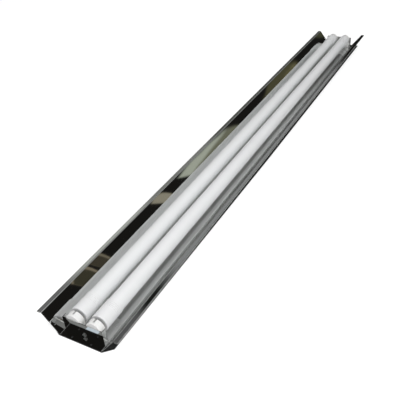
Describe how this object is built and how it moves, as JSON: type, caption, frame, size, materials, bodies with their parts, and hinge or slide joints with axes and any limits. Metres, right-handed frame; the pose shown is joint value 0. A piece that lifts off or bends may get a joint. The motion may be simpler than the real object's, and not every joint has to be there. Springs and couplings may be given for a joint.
{
  "type": "tube light fixture",
  "caption": "Two-lamp ceiling batten with a folded mirror trough reflector; its straight tube lamps turn a quarter turn in sprung rotary lampholders",
  "frame": {"origin": "centre of the back face, which lies on the ceiling in use and down on the table here", "axes": "+Y along the lamps from the near end to the far end, +X across to the right seen from the near end, +Z out of the back towards the lamps"},
  "size_m": [0.1372, 1.252, 0.0344],
  "materials": {
    "mirror_sheet": "mirror polished, rolled sheet",
    "hardware": "bright zinc plated",
    "spring_steel": "tempered, plain",
    "grommet_rubber": "moulded, satin black",
    "holder_plastic": "moulded, satin white",
    "rotor_plastic": "moulded, satin white",
    "contact_metal": "phosphor bronze spring strip",
    "brass": "turned, bright",
    "brown_insulation": "extruded insulation",
    "blue_insulation": "extruded insulation",
    "green_insulation": "extruded insulation",
    "milky_tube": "milky, satin",
    "cap_plastic": "moulded, satin white",
    "heat_strip": "extruded, plain",
    "board_white": "white solder mask",
    "phosphor": "yellow phosphor",
    "board_green": "green solder mask"
  },
  "bodies": {
    "fixture": {"reflector": "mirror_sheet", "end_plate_near": "mirror_sheet", "end_plate_far": "mirror_sheet", "plate_rivets": "hardware", "wiring_cover": "mirror_sheet", "cover_clips": "spring_steel", "cable_grommet": "grommet_rubber", "terminal_block": "holder_plastic", "terminal_screws": "brass", "wires_live": "brown_insulation", "wires_neutral": "blue_insulation", "wire_earth": "green_insulation", "earth_tag": "brass", "earth_screw": "hardware", "earth_nut": "hardware", "lampholder_near_left": "holder_plastic", "lampholder_near_right": "holder_plastic", "lampholder_far_left": "holder_plastic", "lampholder_far_right": "holder_plastic", "contacts_near_left": "contact_metal", "contacts_near_right": "contact_metal", "contacts_far_left": "contact_metal", "contacts_far_right": "contact_metal"},
    "lamp_left": {"lamp_left_tube": "milky_tube", "lamp_left_cap_near": "cap_plastic", "lamp_left_cap_far": "cap_plastic", "lamp_left_pins_near": "brass", "lamp_left_pins_far": "brass", "lamp_left_heat_strip": "heat_strip", "lamp_left_led_board": "board_white", "lamp_left_leds": "phosphor", "lamp_left_driver": "board_green"},
    "lamp_right": {"lamp_right_tube": "milky_tube", "lamp_right_cap_near": "cap_plastic", "lamp_right_cap_far": "cap_plastic", "lamp_right_pins_near": "brass", "lamp_right_pins_far": "brass", "lamp_right_heat_strip": "heat_strip", "lamp_right_led_board": "board_white", "lamp_right_leds": "phosphor", "lamp_right_driver": "board_green"},
    "rotor_nl": {"rotor_near_left": "rotor_plastic"},
    "rotor_fl": {"rotor_far_left": "rotor_plastic"},
    "rotor_nr": {"rotor_near_right": "rotor_plastic"},
    "rotor_fr": {"rotor_far_right": "rotor_plastic"}
  },
  "joints": [
    {"name": "lamp_left_turn", "type": "hinge", "parent": "fixture", "child": "lamp_left", "pos_m": [-0.0175, 0, 0.0208], "axis": [0, 1, 0], "range_deg": [0, 90]},
    {"name": "rotor_near_left_turn", "type": "hinge", "parent": "fixture", "child": "rotor_nl", "pos_m": [-0.0175, -0.608, 0.0208], "axis": [0, 1, 0], "range_deg": [0, 90]},
    {"name": "rotor_far_left_turn", "type": "hinge", "parent": "fixture", "child": "rotor_fl", "pos_m": [-0.0175, 0.608, 0.0208], "axis": [0, 1, 0], "range_deg": [0, 90]},
    {"name": "lamp_right_turn", "type": "hinge", "parent": "fixture", "child": "lamp_right", "pos_m": [0.0175, 0, 0.0208], "axis": [0, 1, 0], "range_deg": [0, 90]},
    {"name": "rotor_near_right_turn", "type": "hinge", "parent": "fixture", "child": "rotor_nr", "pos_m": [0.0175, -0.608, 0.0208], "axis": [0, 1, 0], "range_deg": [0, 90]},
    {"name": "rotor_far_right_turn", "type": "hinge", "parent": "fixture", "child": "rotor_fr", "pos_m": [0.0175, 0.608, 0.0208], "axis": [0, 1, 0], "range_deg": [0, 90]}
  ],
  "couplings": [
    {"joint": "rotor_near_left_turn", "follows": "lamp_left_turn", "ratio": 1},
    {"joint": "rotor_far_left_turn", "follows": "lamp_left_turn", "ratio": 1},
    {"joint": "rotor_near_right_turn", "follows": "lamp_right_turn", "ratio": 1},
    {"joint": "rotor_far_right_turn", "follows": "lamp_right_turn", "ratio": 1}
  ]
}
